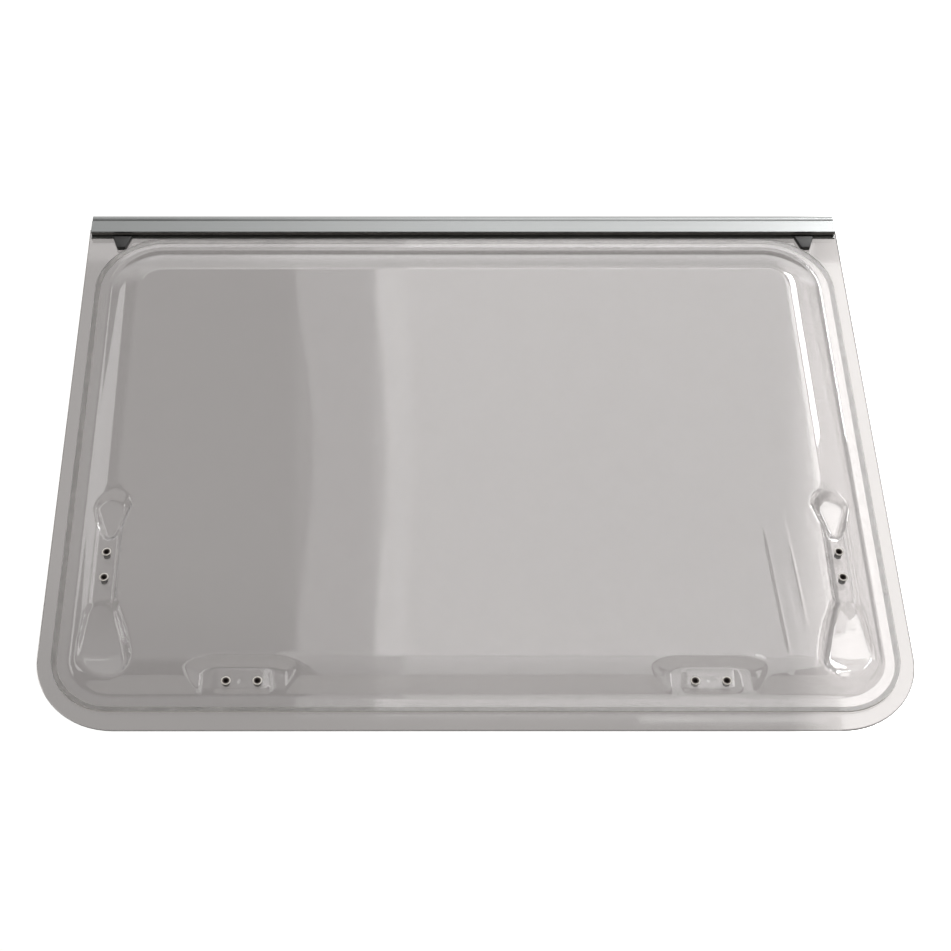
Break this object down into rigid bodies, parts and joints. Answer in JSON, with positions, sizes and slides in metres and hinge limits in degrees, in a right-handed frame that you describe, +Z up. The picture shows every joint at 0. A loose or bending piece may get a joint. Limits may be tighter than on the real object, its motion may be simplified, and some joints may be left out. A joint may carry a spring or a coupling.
{
  "type": "caravan window",
  "caption": "Top-hung double-glazed acrylic caravan window: flat outer pane, domed inner pane with catch and stay pockets, and a two-piece aluminium hinge rail along the top.",
  "frame": {"origin": "middle of the flat face of the wall rail that lies on the caravan wall", "axes": "+X along the width, to the right as seen from the inside; +Z up; -Y towards the inside of the caravan, so the wall face looks along -Y and the window opens to +Y"},
  "size_m": [0.9, 0.0245, 0.703],
  "materials": {
    "tinted_acrylic": "clear smoke-grey tinted sheet, polished",
    "rail_aluminium": "satin natural anodised extrusion",
    "seal_rubber": "matt black strip",
    "black_plastic": "matt black moulding",
    "dark_glue": "dark grey elastic glue line",
    "bush_nylon": "natural white moulding"
  },
  "bodies": {
    "wall_frame": {"wall_rail": "rail_aluminium", "hinge_seal": "seal_rubber", "rail_stop_left": "black_plastic", "rail_stop_right": "black_plastic"},
    "window": {"outer_pane": "tinted_acrylic", "inner_pane": "tinted_acrylic", "edge_bond": "dark_glue", "pane_rail": "rail_aluminium", "rail_bond": "dark_glue", "rail_clip_left": "black_plastic", "rail_clip_right": "black_plastic", "catch_bush_left_outer": "bush_nylon", "catch_bush_left_inner": "bush_nylon", "catch_bush_right_inner": "bush_nylon", "catch_bush_right_outer": "bush_nylon", "stay_bush_left_lower": "bush_nylon", "stay_bush_left_upper": "bush_nylon", "stay_bush_right_lower": "bush_nylon", "stay_bush_right_upper": "bush_nylon"}
  },
  "joints": [
    {"name": "window_hinge", "type": "hinge", "parent": "wall_frame", "child": "window", "pos_m": [0, 0.009, 0.01475], "axis": [1, 0, 0], "range_deg": [0, 70]}
  ]
}
